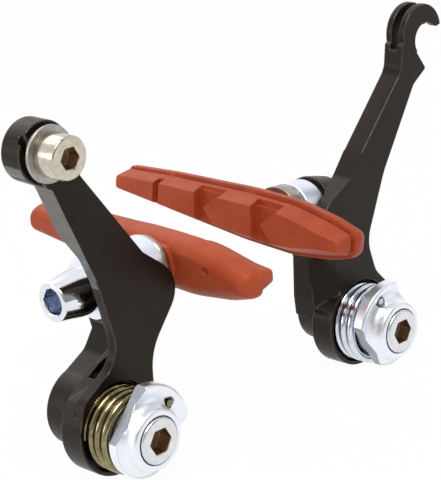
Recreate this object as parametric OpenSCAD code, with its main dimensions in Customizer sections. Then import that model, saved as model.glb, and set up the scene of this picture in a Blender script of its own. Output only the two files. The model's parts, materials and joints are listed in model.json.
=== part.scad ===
// Cantilever rim brake: two arms, each turning on a sleeve, with its spring, adjuster and pad.
// Origin: midway between the two pivot axes, on the plane where the sleeves meet the frame.
// X runs from the left arm to the right arm, Y runs back into the bicycle, Z is up.

/* [Stance] */
// Distance between the two pivot axes
pivot_span = 76; // [72:0.5:100]
// Outward lean of the left arm, in degrees
left_lean = 0; // [-2:0.5:15]
// Outward lean of the right arm, in degrees
right_lean = 12.5; // [-2:0.5:15]

/* [Pivot] */
// Diameter of the frame's pivot stud
stud_d = 8; // [7:0.5:9]
// Length of the sleeve's close bore on the stud
stud_bore_l = 6; // [4:0.5:7]
// Wall of the pivot sleeve
sleeve_wall = 1.5; // [1:0.25:2]
// Length of the pivot sleeve
sleeve_l = 16.6; // [15.5:0.1:18]
// Radial running clearance between arm and sleeve
running_gap = 0.04; // [0.02:0.01:0.08]
// Shank diameter of the pivot bolt
pivot_bolt_d = 6; // [5:0.5:6]
// Head diameter of the pivot bolt
pivot_head_d = 10; // [9:0.25:10.5]
// Head height of the pivot bolt
pivot_head_h = 6; // [5:0.5:7]
// Shank length of the pivot bolt
pivot_bolt_l = 12; // [10:0.5:12]
// Width across flats of the pivot bolt's socket
pivot_hex = 5; // [4:1:6]

/* [Arm] */
// Depth of the arm at the pivot, from its rear face to its front face
arm_depth = 12.4; // [11.5:0.1:13]
// Play between the arm's rear face and the frame
rear_play = 0.1; // [0.05:0.05:0.5]
// Diameter of the front boss
front_boss_d = 21; // [20.5:0.5:23]
// Depth of the front boss
front_boss_l = 5.9; // [5:0.1:7]
// Diameter of the rear boss
rear_boss_d = 17.2; // [16.6:0.1:19]
// Height of the rear boss' centre above the pivot
rear_boss_lift = 2; // [0:0.1:2]
// Thickness of the front plate over the pad hardware
plate_t = 2.4; // [2:0.1:2.6]
// Thickness of the upper arm
upper_t = 5.3; // [5:0.1:7]
// Depth of the spring pocket in the front boss
pocket_depth = 2.5; // [2:0.1:3]
// Rim left round the spring pocket
pocket_rim = 0.9; // [0.7:0.1:1.2]
// Height of the hook's throat above the pivot
hook_z = 65; // [62:0.5:66]
// Outward offset of the hook's throat
hook_x = 11.9; // [11:0.1:13]
// Diameter of the hook's throat
hook_throat_d = 7.5; // [7:0.1:8]
// Diameter of the hook's outer curve
hook_d = 13.4; // [13:0.1:14]
// Width of the cable slot through the hook
hook_slot = 2; // [1.6:0.1:2.4]

/* [Cable anchor] */
// Height of the anchor bolt above the pivot
anchor_z = 61; // [58:0.5:64]
// Outward offset of the anchor bolt
anchor_x = 13.6; // [12:0.1:15]
// Diameter of the arm's anchor head
anchor_head_d = 12.7; // [12.4:0.1:14]
// Shank diameter of the anchor bolt
anchor_bolt_d = 5; // [4:0.5:5]
// Head diameter of the anchor bolt
anchor_bolt_head_d = 8.8; // [8:0.1:9]
// Head height of the anchor bolt
anchor_bolt_head_h = 5.5; // [4:0.5:6]
// Width across flats of the anchor bolt's socket
anchor_hex = 4; // [3:1:4]
// Diameter of the anchor washer
anchor_washer_d = 11.4; // [10:0.2:12]
// Thickness of the anchor washer at its hub
anchor_washer_t = 1.9; // [1.6:0.1:2.4]
// Thickness of the anchor washer's flange
anchor_flange_t = 0.8; // [0.6:0.1:1.2]
// Width of the cable groove across the anchor head
cable_groove_w = 1.8; // [1.5:0.1:2]
// Depth of the cable groove
cable_groove_depth = 1; // [0.6:0.1:1.2]

/* [Spring] */
// Gap between the coil and the wall of its pocket
coil_gap = 0.6; // [0.4:0.1:1]
// Mean diameter of the coil divided by the diameter of its wire
spring_index = 9; // [8:0.5:12]
// Number of turns of the coil
spring_turns = 3.4; // [2.4:1:3.4]

/* [Adjuster] */
// Diameter of the adjuster's disc
adjuster_d = 22; // [21:0.2:23]
// Diameter of the disc on the side away from the spring's end
adjuster_low_d = 17.4; // [16.5:0.1:22]
// Thickness of the adjuster's disc
adjuster_t = 3; // [2.6:0.1:4]
// Distance across the adjuster's wrench flats
adjuster_flats = 14.4; // [14:0.2:16]
// Direction of the left adjuster's flats, in degrees from outward
left_flats_angle = 130; // [100:1:150]
// Direction of the right adjuster's flats, in degrees from outward
right_flats_angle = 123; // [100:1:150]
// Radial gap between the adjuster's hub and the coil
hub_gap = 0.5; // [0.3:0.1:0.8]
// Thickness of the adjuster's floor under the bolt's head
floor_t = 2.2; // [1.8:0.1:2.4]
// Height of the collar above the disc's rim
collar_rise = 2.3; // [1.6:0.1:2.6]
// Diameter of the hole for the spring's end
leg_hole_d = 2.7; // [2.4:0.1:3]

/* [Pad hardware] */
// Height of the left post carrier's middle above the pivot
left_post_z = 27; // [26:0.5:28]
// Height of the right post carrier's middle above the pivot
right_post_z = 25; // [24:0.5:27]
// Distance of the post in front of the mounting plane
post_h = 2.6; // [2:0.1:2.6]
// Thread diameter of the pad's post
post_d = 6; // [5:0.5:6]
// Tilt of the left pad and its post against the arm, in degrees
left_tilt = -2; // [-4:0.5:13]
// Tilt of the right pad and its post against the arm, in degrees
right_tilt = 6; // [-4:0.5:13]
// Inner face of the post carrier, inward from the pivot
carrier_in = 12; // [11:0.1:12.5]
// Thickness of the post carrier
carrier_t = 5.5; // [5:0.1:6]
// Diameter of the post carrier's round top
carrier_d = 14.2; // [13.6:0.1:14.2]
// Diameter of the cupped washers
cup_d = 13.8; // [13:0.1:14]
// Diameter of the domed washers
dome_d = 11.4; // [10.8:0.2:12]
// Bore of the domed washers, wide enough for the tilted post
dome_bore = 8.8; // [8:0.2:9]
// Radius of the inner spherical seat about the carrier's middle
inner_seat_r = 7; // [6.6:0.1:7.4]
// Radius of the outer spherical seat about the carrier's middle
outer_seat_r = 6.2; // [6:0.1:6.6]
// Thickness of the cupped washer between carrier and pad
inner_cup_t = 5.8; // [4.5:0.1:6.4]
// Thickness of the cupped washer behind the nut
outer_cup_t = 2; // [1.8:0.1:3]
// Diameter of the spacer against the pad
spacer_d = 13; // [11:0.2:13.4]
// Thickness of the spacer against the left pad
left_spacer_t = 1.4; // [1:0.1:4]
// Thickness of the spacer against the right pad
right_spacer_t = 3.8; // [1:0.1:4]
// Outer diameter of the cone nut's cylinder
nut_d = 10; // [9.5:0.1:10.6]
// Diameter of the cone nut's outer end
nut_end_d = 8.6; // [8:0.1:9]
// Length of the cone nut
nut_l = 10; // [8:0.5:11]
// Length of the cone nut's cylinder
nut_base_l = 4.6; // [3.5:0.1:6]
// Width across flats of the cone nut's socket
nut_hex = 5; // [4:1:5]

/* [Pads] */
// Length of a pad
pad_l = 68.4; // [64:0.5:80]
// Height of a pad at its middle
pad_h = 12; // [11.5:0.1:14]
// Thickness of a pad from its back to its friction face
pad_t = 9.6; // [9:0.1:11]
// Depth of the pad's rounded back
pad_back_t = 3.6; // [3:0.1:4]
// Thickness of the flange along the pad's back edge
flange_t = 1.3; // [1:0.1:2]
// Distance of the pad's front end ahead of its post
pad_front = 27.8; // [24:0.5:36]
// Height of the pad's middle above its post
pad_rise = 0.5; // [0:0.1:2]
// Nose-down turn of the left pad about its post, in degrees
left_pad_pitch = 1.7; // [-4:0.5:6]
// Nose-down turn of the right pad about its post, in degrees
right_pad_pitch = 3.2; // [-4:0.5:6]
// Toe-in of the pads, in degrees
pad_toe = 1.4; // [0:0.1:1.6]
// Depth of the notches in the friction face
notch_depth = 2.3; // [1.5:0.1:3]
// Diameter of the boss round the post on the pad's back
pad_boss_d = 14; // [13:0.2:16]
// Height of that boss
pad_boss_h = 0.8; // [0.4:0.1:1]

/* [Hidden] */
LEFT = -1;
RIGHT = 1;
round_fn = 64;
black = [0.09, 0.085, 0.08];
silver = [0.78, 0.79, 0.82];
chrome = [0.85, 0.86, 0.9];
gold = [0.78, 0.68, 0.34];
zinc = [0.72, 0.74, 0.78];
dark_steel = [0.2, 0.2, 0.22];
rubber = [0.68, 0.24, 0.16];
seam = 0.05; // overlap where two shapes of one solid are joined
loose = 0.3; // radial room of a screw in a plain hole
seat_gap = 0.1; // gap between a dome and its cup
rim_room = 0.3; // least distance between a tilted cup and the carrier
relief_gap = 0.8; // radial room for the pad hardware behind the arm

// Heights along the pivot, measured forward from the mounting plane
front_h = rear_play + arm_depth;
boss_step_h = front_h - front_boss_l;
plate_h = front_h - plate_t;
upper_h = front_h - upper_t;
pocket_h = front_h - pocket_depth;
hub_h = sleeve_l;
head_seat_h = hub_h + floor_t;
disc_h = head_seat_h + 0.1;
rim_h = disc_h + adjuster_t;
collar_h = rim_h + collar_rise;

// Radii
sleeve_r = stud_d / 2 + sleeve_wall;
pocket_r = front_boss_d / 2 - pocket_rim;
spring_d = 2 * (pocket_r - coil_gap);
wire_d = spring_d / (spring_index + 1);
coil_r = (spring_d - wire_d) / 2;
hub_d = 2 * (coil_r - wire_d / 2 - hub_gap);

// Places along the arm, inward from the pivot axis as negative numbers
carrier_in_x = -carrier_in;
carrier_out_x = carrier_in_x + carrier_t;
ball_x = carrier_in_x + carrier_t / 2;

// Distances from the middle of the carrier, measured along the post
rim_gap = rim_room + cup_d / 2 * sin(norm([max(abs(left_tilt), abs(right_tilt)), pad_toe]));
inner_cup_from = carrier_t / 2 + rim_gap;
spacer_from = inner_cup_from + inner_cup_t;
outer_cup_from = carrier_t / 2 + rim_gap;
nut_from = outer_cup_from + outer_cup_t;

// A point at distance r and angle a from a centre
function polar(c, r, a) = c + r * [cos(a), sin(a)];

function unit(v) = v / norm(v);

// The arc that rounds corner p between its neighbours a and b, in n steps
function corner_arc(a, p, b, r, n) =
    let (u = unit(a - p), v = unit(b - p), half = acos(u * v) / 2, c = p + unit(u + v) * r / sin(half),
        s = p + u * r / tan(half) - c, e = p + v * r / tan(half) - c, from = atan2(s[1], s[0]),
        turn = atan2(s[0] * e[1] - s[1] * e[0], s * e))
    [for (i = [0:n]) polar(c, r, from + turn * i / n)];

// An outline whose corners [x, y, r] are rounded by their own radius
function rounded(corners, n = 8) =
    let (last = len(corners) - 1)
    [for (i = [0:last])
        let (c = corners[i], p = [c[0], c[1]], a = corners[i == 0 ? last : i - 1],
            b = corners[i == last ? 0 : i + 1])
        each (c[2] == 0 ? [p] : corner_arc([a[0], a[1]], p, [b[0], b[1]], c[2], n))];

// Puts a shape drawn on one arm in its place. Drawn: x outward, y up, z forward from the mounting plane
module on_side(side, lean = 0)
    translate([side * pivot_span / 2, 0, 0])
    rotate([90, 0, 0])
    mirror([side == LEFT ? 1 : 0, 0, 0])
    rotate([0, 0, -lean])
    children();

function lean(side) = side == LEFT ? left_lean : right_lean;

module on_arm(side) on_side(side, lean(side)) children();

function tilt(side) = side == LEFT ? left_tilt : right_tilt;
function post_z(side) = side == LEFT ? left_post_z : right_post_z;
function spacer_t(side) = side == LEFT ? left_spacer_t : right_spacer_t;
function pad_from(side) = spacer_from + spacer_t(side);

// The middle of the carrier, where both seats of the pad's hardware are centred. Drawn: x outward across the arm
module at_ball(side)
    translate([ball_x, post_z(side), post_h])
    children();

module on_carrier(side) on_arm(side) at_ball(side) children();

// The tilt and toe-in that the seats let the post take. Drawn: x outward along the post
module turned(side) rotate([0, pad_toe, tilt(side)]) children();

module on_ball(side) on_carrier(side) turned(side) children();

// A profile turned about an axis that starts at the ball's middle and runs inward or outward
module inward(from = 0) rotate([0, -90, 0]) translate([0, 0, from]) children();
module outward(from = 0) rotate([0, 90, 0]) translate([0, 0, from]) children();

module hex_prism(flats, height)
    cylinder(d = flats / cos(30), h = height, $fn = 6);

// Inner edge of the arms, from the boss up round the belly to the straight neck
inner_edge = [[-front_boss_d / 2, 0, 0], [-front_boss_d / 2, 13, 12], [-21, 26.4, 6.4], [-9.8, 34.7, 2]];

// The anchor head is round, with a fillet where the neck's outer edge meets it
module left_outline() {
    neck = [[5.2, 54.5, 3], [7.2, 62.6, 0], [anchor_x, anchor_z, 0], [16.4, 55.3, 0], [12.4, 53.3, 1.5],
        [2.8, 31.2, 20], [-1.8, 14.3, 7], [8.6, 7.6, 3], [10.4, 1.5, 0], [0, 0, 0]];
    polygon(rounded(concat(inner_edge, neck)));
    translate([anchor_x, anchor_z]) circle(d = anchor_head_d, $fn = round_fn);
}

// The hook's curve with its mouth open outward and its pointed lower lip
module right_outline() {
    belly = [[1.5 - front_boss_d / 2, 3, 0], [-8.2, 8.6, 8], [-18.6, 25, 5], [-9.4, 33, 3]];
    crown = [hook_x - 1.6, hook_z + 1.3];
    throat = [hook_x, hook_z];
    neck = [[-6.6, 38.7, 6], [4.2, 57.4, 5], [crown[0] - hook_d / 2, crown[1] - 3, 0],
        [crown[0], crown[1], 0],
        [8.6, 63.4, 0], [12.9, 58.4, 0.7], [9.2, 54.6, 4], [2.2, 34.4, 20], [-0.8, 18.6, 8], [3.4, 11.6, 6],
        [9.6, 7.6, 0], [0, 0, 0]];
    difference() {
        union() {
            polygon(rounded(concat(belly, neck)));
            intersection() {
                translate(crown) circle(d = hook_d, $fn = round_fn);
                translate([crown[0] - hook_d, crown[1] - hook_d / 2]) square([hook_d * 2, hook_d]);
            }
        }
        translate(throat) circle(d = hook_throat_d, $fn = round_fn);
        polygon(rounded([[throat[0] + 1, throat[1] + hook_throat_d / 2, 0],
            [throat[0] + 3, throat[1] + 3, 0.8],
            [throat[0] + 8, throat[1] + 5.6, 0], [30, 57, 0], [throat[0] + 0.8, 58.6, 0],
            [throat[0] - 2.6, throat[1] - 3.2, 0]]));
    }
}

// The thick upper arm ends above the pad hardware in a slope down to the front plate
module upper_zone() {
    cut_at = [5.5, 41];
    cut_angle = 28;
    slope = plate_h - upper_h + 0.6;
    across = 60;
    translate([cut_at[0], cut_at[1], 0])
    rotate([90, 0, 90 + cut_angle])
    translate([0, 0, -across / 2])
    linear_extrude(across)
    polygon([[across, upper_h - seam], [across, front_h], [-slope, front_h], [-slope, plate_h],
        [0, upper_h - seam]]);
}

// Inner edge of the rear boss and of the wall above it
housing_edge = [[-rear_boss_d / 2, -0.5, 0], [-rear_boss_d / 2 - 1.5, 4, 8], [carrier_in_x + 0.4, 11.8, 3],
    [carrier_in_x, 14, 0]];

// The wall that carries the pad's post, rounded over the post and running down into the rear boss
module carrier(post_z) {
    top_r = carrier_d / 2;
    slot_travel = 1.6;
    slot_r = post_d / 2 + loose;
    difference() {
        intersection() {
            translate([carrier_in_x, 0, 0])
                rotate([90, 0, 90])
                linear_extrude(carrier_t)
                union() {
                    translate([post_z, post_h]) circle(d = carrier_d, $fn = round_fn);
                    polygon([[post_z + 2, post_h - top_r + 0.3], [post_z - 3, post_h - top_r + 0.66],
                        [13, rear_play],
                        [4, rear_play], [4, boss_step_h + 2], [13, plate_h],
                        [post_z - 8, post_h + top_r - 1.6], [post_z, post_h + top_r]]);
                }
            translate([0, 0, -top_r])
                linear_extrude(front_h + top_r)
                polygon([[carrier_in_x, 40], [carrier_in_x, 14], [carrier_in_x + 0.6, 11.6], [-8, 4],
                    [0, 4], [0, 40]]);
        }
        translate([carrier_in_x - 1, post_z, post_h])
            rotate([90, 0, 90])
            linear_extrude(carrier_t + 2)
            union() {
                translate([-slot_travel, 0]) circle(r = slot_r, $fn = round_fn);
                translate([slot_travel, 0]) circle(r = slot_r, $fn = round_fn);
                translate([-slot_travel, -slot_r]) square([2 * slot_travel, 2 * slot_r]);
            }
    }
}

// Rear boss, set a little above the pivot, with the shoulder that leads up to the post carrier
module rear_housing() {
    step = boss_step_h - rear_play + seam;
    r = rear_boss_d / 2;
    translate([0, 0, rear_play])
    linear_extrude(step)
    union() {
        translate([0, rear_boss_lift]) circle(r = r, $fn = round_fn);
        polygon(rounded(concat(housing_edge, [[carrier_in_x, 18.4, 0], [carrier_out_x, 18.4, 0],
            [-5, 16.4, 4], [-2.9, 13.2, 4], [6.1, 8, 0], [0, rear_boss_lift, 0]])));
    }
}

// The flank under the belly slopes from the step between the bosses forward to the front face
module flank() {
    across = 60;
    slope = 3.5;
    translate([-12.3, 8, 0])
        rotate([90, 0, 18])
        translate([0, 0, -across / 2])
        linear_extrude(across)
        polygon([[-0.1 * slope, boss_step_h - 0.1 * front_boss_l],
            [1.1 * slope, front_h + 0.1 * front_boss_l], [across, front_h + 1], [across, boss_step_h - 1]]);
}

// Front boss, and the solid neck between it and the carrier with its milled pocket behind the plate
module front_housing() {
    translate([0, 0, boss_step_h]) cylinder(d = front_boss_d, h = front_boss_l, $fn = round_fn);
    difference() {
        intersection() {
            translate([0, 0, boss_step_h])
                linear_extrude(front_boss_l)
                polygon(rounded([[-front_boss_d / 2, 0, 0], [-11.2, 4.3, 0], [-12.1, 7.9, 0], [-14.6, 13, 1],
                    [-12.4, 14.6, 0], [-4.5, 14.6, 3], [0, 12.6, 0], [8.6, 7, 2], [10.2, 2, 0], [0, 0, 0]]));
            flank();
        }
        translate([0, 0, boss_step_h + 1])
            linear_extrude(plate_h - boss_step_h - 0.5)
            polygon(rounded([[-3, 16, 0], [-3, 12.6, 1], [2.2, 9.8, 1], [3.7, 11.4, 0], [3.7, 16, 0]]));
    }
}

// Everything below the top of an arm, with its bore, spring pocket and leg hole. The child is the front outline
module arm_body(side) {
    hole_angle = leg_angle(side) - turn_deg + lean(side);
    difference() {
        union() {
            translate([0, 0, plate_h]) linear_extrude(plate_t) children();
            intersection() {
                translate([0, 0, upper_h]) linear_extrude(upper_t) children();
                upper_zone();
            }
            rear_housing();
            front_housing();
            carrier(post_z(side));
        }
        at_ball(side)
            turned(side)
            inward(carrier_t / 2)
            cylinder(r = cup_d / 2 + relief_gap, h = cup_d, $fn = round_fn);
        cylinder(r = sleeve_r + running_gap, h = front_h + 1, $fn = round_fn);
        translate([0, 0, pocket_h]) cylinder(r = pocket_r, h = pocket_depth + 1, $fn = round_fn);
        translate([coil_r * cos(hole_angle), coil_r * sin(hole_angle), pocket_h - leg_l - 0.2])
            cylinder(d = leg_hole_d, h = leg_l + 1, $fn = 32);
    }
}

module left_arm()
    color(black)
    on_arm(LEFT)
    difference() {
        arm_body(LEFT) left_outline();
        translate([anchor_x, anchor_z, upper_h - 1])
            cylinder(d = anchor_bolt_d + 2 * running_gap, h = upper_t + 2, $fn = round_fn);
        translate([anchor_x, anchor_z, front_h - cable_groove_depth])
            rotate([0, 0, -20])
            translate([anchor_bolt_d / 2, -anchor_head_d, 0])
            cube([cable_groove_w, 2 * anchor_head_d, cable_groove_depth + 1]);
    }

module right_arm()
    color(black)
    on_arm(RIGHT)
    difference() {
        arm_body(RIGHT) right_outline();
        translate([0, hook_z - 3, upper_h + (upper_t - hook_slot) / 2])
            cube([60, 20, hook_slot]);
    }

// The sleeve fits the stud closely at its rear end and is relieved in front of that
module pivot_sleeve(side) {
    relief = 1.2;
    color(dark_steel)
    on_side(side)
    difference() {
        cylinder(r = sleeve_r, h = sleeve_l, $fn = round_fn);
        translate([0, 0, -1]) cylinder(d = stud_d, h = stud_bore_l + 1.01, $fn = round_fn);
        translate([0, 0, stud_bore_l]) cylinder(d = stud_d + relief, h = sleeve_l, $fn = round_fn);
    }
}

// A socket head screw along z with its head's underside at z = 0
module socket_screw(shank_d, shank_l, head_d, head_h, flats) {
    chamfer = head_d * 0.05;
    difference() {
        rotate_extrude($fn = round_fn)
            polygon([[0, -shank_l], [shank_d / 2 - 0.5, -shank_l], [shank_d / 2, -shank_l + 0.5],
                [shank_d / 2, 0],
                [head_d / 2, 0], [head_d / 2, head_h - chamfer], [head_d / 2 - chamfer, head_h],
                [0, head_h]]);
        translate([0, 0, head_h * 0.45]) hex_prism(flats, head_h);
    }
}

module pivot_bolt(side)
    color(chrome)
    on_side(side)
    translate([0, 0, head_seat_h])
    socket_screw(pivot_bolt_d, pivot_bolt_l, pivot_head_d, pivot_head_h, pivot_hex);

// Turned disc with hub, dished face and collar, cut by two wrench flats and turned down on its lower side
module adjuster(side) {
    rim_r = adjuster_d / 2;
    edge = 0.4;
    recess_r = pivot_head_d / 2 + 0.2;
    collar_r = recess_r + 1.3;
    dish = 1;
    color(silver)
    on_side(side)
    difference() {
        rotate_extrude($fn = round_fn)
            polygon([[pivot_bolt_d / 2 + loose, hub_h], [hub_d / 2, hub_h], [hub_d / 2, disc_h],
                [rim_r - edge, disc_h], [rim_r, disc_h + edge], [rim_r, rim_h - edge], [rim_r - edge, rim_h],
                [rim_r - 2 * edge, rim_h], [collar_r + 1.8, rim_h - dish],
                [collar_r + 0.9, rim_h - dish * 0.5],
                [collar_r + 0.3, rim_h + dish * 0.4], [collar_r, collar_h - edge],
                [collar_r - edge, collar_h],
                [recess_r, collar_h], [recess_r, head_seat_h], [pivot_bolt_d / 2 + loose, head_seat_h]]);
        for (turn = [0, 180]) {
            rotate([0, 0, flats_angle(side) + turn])
            translate([-adjuster_d, adjuster_flats / 2, disc_h - 1])
            cube([2 * adjuster_d, adjuster_d, adjuster_t + collar_rise + 2]);
        }
        rotate([0, 0, flats_angle(side)])
            difference() {
                translate([-adjuster_d, -adjuster_d, disc_h - 1])
                    cube([adjuster_d, 2 * adjuster_d, adjuster_t + collar_rise + 2]);
                translate([0, 0, disc_h - 2])
                    cylinder(d = adjuster_low_d, h = adjuster_t + collar_rise + 4, $fn = round_fn);
            }
        rotate([0, 0, leg_angle(side)])
            translate([coil_r, 0, disc_h - 1])
            cylinder(d = leg_hole_d, h = adjuster_t + collar_rise + 2, $fn = 32);
    }
}

// The adjusters are alike, so the hole for the spring's end lies mirrored beside the flats
function flats_angle(side) = side == LEFT ? left_flats_angle : right_flats_angle;
function leg_angle(side) = flats_angle(side) - side * 9;

// Spring: the wire starts in the arm's leg hole, winds forward and ends in the adjuster's hole, at angle 0
leg_l = 3;
coil_low_h = pocket_h + wire_d / 2 + 0.1;
coil_high_h = disc_h - wire_d / 2 - 0.05;
turn_deg = 360 * spring_turns;
ring_step = 12;
function coil_point(a) = [coil_r * cos(a - turn_deg), coil_r * sin(a - turn_deg),
    coil_low_h + (coil_high_h - coil_low_h) * a / turn_deg];
rear_foot = coil_point(0) - [0, 0, wire_d / 2 + leg_l];
front_foot = coil_point(turn_deg) + [0, 0, adjuster_t - 0.4 + wire_d / 2];
wire_path = concat([rear_foot, coil_point(0) - [0, 0, 0.5]],
    [for (a = [2:ring_step:turn_deg - 2]) coil_point(a)],
    [coil_point(turn_deg) + [0, 0, 0.5], front_foot]);

// A round wire swept along a path: each ring is square to the path and keeps one edge facing outward
module swept_wire(path, d, sides) {
    last = len(path) - 1;
    rings = [for (i = [0:last])
        let (t = unit(path[min(i + 1, last)] - path[max(i - 1, 0)]), out = unit([path[i][0], path[i][1], 0]),
            u = unit(out - (out * t) * t), v = cross(t, u))
        for (k = [0:sides - 1]) path[i] + d / 2 * (cos(360 * k / sides) * u + sin(360 * k / sides) * v)];
    walls = [for (i = [0:last - 1], k = [0:sides - 1])
        let (a = i * sides + k, b = i * sides + (k + 1) % sides)
        each [[a, a + sides, b], [b, a + sides, b + sides]]];
    ends = [[for (k = [0:sides - 1]) k], [for (k = [sides - 1:-1:0]) last * sides + k]];
    polyhedron(rings, concat(walls, ends));
}

module spring(side)
    color(side == LEFT ? gold : zinc)
    on_side(side)
    rotate([0, 0, leg_angle(side)])
    swept_wire(wire_path, wire_d, 10);

// Cupped washer along z with its hollow seat facing z = 0, where the ball's middle is
module cup(from, thickness, seat)
    difference() {
        translate([0, 0, from]) cylinder(d = cup_d, h = thickness, $fn = round_fn);
        cylinder(d = post_d + 2 * loose, h = from + thickness + 1, $fn = round_fn);
        sphere(r = seat + seat_gap, $fn = round_fn);
    }

// Domed washer: its flat face lies on the carrier and its dome is part of the ball
module dome(seat)
    difference() {
        intersection() {
            translate([0, 0, carrier_t / 2]) cylinder(d = dome_d, h = seat, $fn = round_fn);
            sphere(r = seat, $fn = round_fn);
        }
        cylinder(d = dome_bore, h = seat + 1, $fn = round_fn);
    }

module inner_cup(side)
    color(silver)
    on_ball(side)
    inward()
    cup(inner_cup_from, inner_cup_t, inner_seat_r);

module inner_dome(side)
    color(zinc)
    on_carrier(side)
    inward()
    dome(inner_seat_r);

module outer_cup(side)
    color(silver)
    on_ball(side)
    outward()
    cup(outer_cup_from, outer_cup_t, outer_seat_r);

module outer_dome(side)
    color(zinc)
    on_carrier(side)
    outward()
    dome(outer_seat_r);

// Spacer between the inner cup and the pad, with its rim rounded toward the cup
module pad_spacer(side) {
    bevel = 0.5;
    color(zinc)
    on_ball(side)
    inward(spacer_from)
    difference() {
        rotate_extrude($fn = round_fn)
            polygon([[0, 0], [spacer_d / 2 - bevel, 0], [spacer_d / 2, bevel], [spacer_d / 2, spacer_t(side)],
                [0, spacer_t(side)]]);
        translate([0, 0, -1]) cylinder(d = post_d + 2 * loose, h = spacer_t(side) + 2, $fn = round_fn);
    }
}

// Long barrel nut: a cylinder, then a cone to a rounded end with a hexagon socket
module cone_nut(side) {
    corner = 0.7;
    socket_l = 4.5;
    color(chrome)
    on_ball(side)
    outward(nut_from)
    difference() {
        rotate_extrude($fn = round_fn)
            polygon(concat([[0, 0], [nut_d / 2 - 0.4, 0], [nut_d / 2, 0.4], [nut_d / 2, nut_base_l],
                [nut_end_d / 2, nut_l - corner]],
                [for (a = [15:15:90]) polar([nut_end_d / 2 - corner, nut_l - corner], corner, a)],
                    [[0, nut_l]]));
        translate([0, 0, -1])
            cylinder(d = post_d + 2 * running_gap, h = nut_l - socket_l + 0.5, $fn = round_fn);
        translate([0, 0, nut_l - socket_l]) hex_prism(nut_hex, socket_l + 1);
        translate([0, 0, nut_l - 0.6]) cylinder(d1 = nut_hex, d2 = nut_hex + 1.6, h = 0.61, $fn = round_fn);
    }
}

// Pad post: a threaded stud with the flat plate that is moulded into the pad
post_plate = [22, 7, 1.6];
post_inset = 2.4;
module post_shape(shank_l) {
    cylinder(d = post_d, h = shank_l, $fn = round_fn);
    translate([-post_plate[0] / 2, -post_plate[1] / 2, -post_plate[2]])
        cube([post_plate[0], post_plate[1], post_plate[2] + seam]);
}

module on_plate(side)
    on_ball(side)
    inward(pad_from(side) + post_inset)
    mirror([0, 0, 1])
    children();

module pad_post(side)
    color(zinc)
    on_plate(side)
    post_shape(pad_from(side) + post_inset + nut_from + nut_l - 5);

// Side outline of the pad in the plane of the rim, shrunk by a margin. x runs forward, y up from the post
module pad_outline(margin = 0) {
    rear = pad_front - pad_l + margin * 0.1;
    front = pad_front - margin;
    top = [[rear, pad_h * 0.255 - margin * 0.6, 0.8], [-27, pad_h * 0.37 - margin * 0.8, 60],
        [-3, pad_h * 0.5 - margin, 60], [11, pad_h * 0.51 - margin, 30],
        [pad_front - 6.5, pad_h * 0.39 - margin * 1.4, 8],
        [front, pad_h * 0.22 - margin * 0.7, max(0.8, 2.2 - margin)]];
    below = [for (i = [len(top) - 1:-1:0]) [top[i][0], -top[i][1], top[i][2]]];
    translate([0, pad_rise]) polygon(rounded(concat(top, below)));
}

// A notch across the face: straight on its rear side, with the next block's point on its front side
notch_gap = 2.7;
notch_top = pad_h * 0.28;
module notch(at) {
    reach = pad_h;
    lean = reach * 0.14;
    translate([at, pad_rise])
    polygon([[lean, -reach], [-lean, reach], [notch_gap + 4.2, reach], [notch_gap + 4.2, notch_top],
        [notch_gap, 0], [notch_gap + 3.3, -notch_top], [notch_gap + 3.3, -reach]]);
}

// The deeper pocket at a notch's upper end, which leaves a small ledge above the notch's floor
module notch_pocket(at)
    translate([at - pad_h * 0.14, pad_rise + notch_top])
    square([pad_h * 0.14 + notch_gap + 4.2, pad_h]);

// The pad, drawn with x forward and y up, growing along z from its back to its friction face
module pad_shape() {
    taper = 1;
    shoulder = 0.8;
    step_z = pad_back_t + flange_t;
    intersection() {
        translate([0, 0, -pad_boss_h]) cylinder(d = pad_boss_d, h = pad_boss_h + 1, $fn = round_fn);
        translate([0, 0, -pad_boss_h]) linear_extrude(pad_boss_h + 1) pad_outline(1.6);
    }
    hull() {
        linear_extrude(seam) pad_outline(2.4);
        translate([0, 0, pad_back_t * 0.35]) linear_extrude(seam) pad_outline(0.8);
        translate([0, 0, pad_back_t]) linear_extrude(flange_t) pad_outline();
    }
    difference() {
        hull() {
            translate([0, 0, step_z - seam]) linear_extrude(seam) pad_outline(shoulder);
            translate([0, 0, pad_t - seam]) linear_extrude(seam) pad_outline(shoulder + taper);
        }
        translate([0, 0, pad_t - notch_depth]) linear_extrude(notch_depth + 1) {
            notch(pad_front - 26);
            notch(pad_front - 43.1);
            translate([pad_front - 56.1, -pad_h]) square([1.5, 2 * pad_h]);
        }
        translate([0, 0, pad_t - notch_depth - 1.4]) linear_extrude(notch_depth + 2)
            intersection() {
                union() {
                    notch(pad_front - 26);
                    notch(pad_front - 43.1);
                }
                union() {
                    notch_pocket(pad_front - 26);
                    notch_pocket(pad_front - 43.1);
                }
            }
    }
}

module on_pad(side)
    on_ball(side)
    translate([-pad_from(side) - pad_boss_h, 0, 0])
    rotate([side == LEFT ? left_pad_pitch : right_pad_pitch, 0, 0])
    rotate([0, -90, 0])
    children();

module pad(side)
    color(rubber)
    difference() {
        on_pad(side) pad_shape();
        on_plate(side) post_shape(post_inset + 5);
    }

module cable_bolt()
    color(chrome)
    on_arm(LEFT)
    translate([anchor_x, anchor_z, front_h + anchor_washer_t])
    socket_screw(anchor_bolt_d, anchor_washer_t + upper_t + 0.8, anchor_bolt_head_d, anchor_bolt_head_h,
        anchor_hex);

module cable_washer()
    color(silver)
    on_arm(LEFT)
    translate([anchor_x, anchor_z, front_h])
    difference() {
        union() {
            cylinder(d = anchor_bolt_head_d, h = anchor_washer_t, $fn = round_fn);
            translate([0, 0, anchor_washer_t - anchor_flange_t])
                cylinder(d = anchor_washer_d, h = anchor_flange_t, $fn = round_fn);
        }
        translate([0, 0, -1]) cylinder(d = anchor_bolt_d + 2 * loose, h = anchor_washer_t + 2,
            $fn = round_fn);
    }

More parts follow.
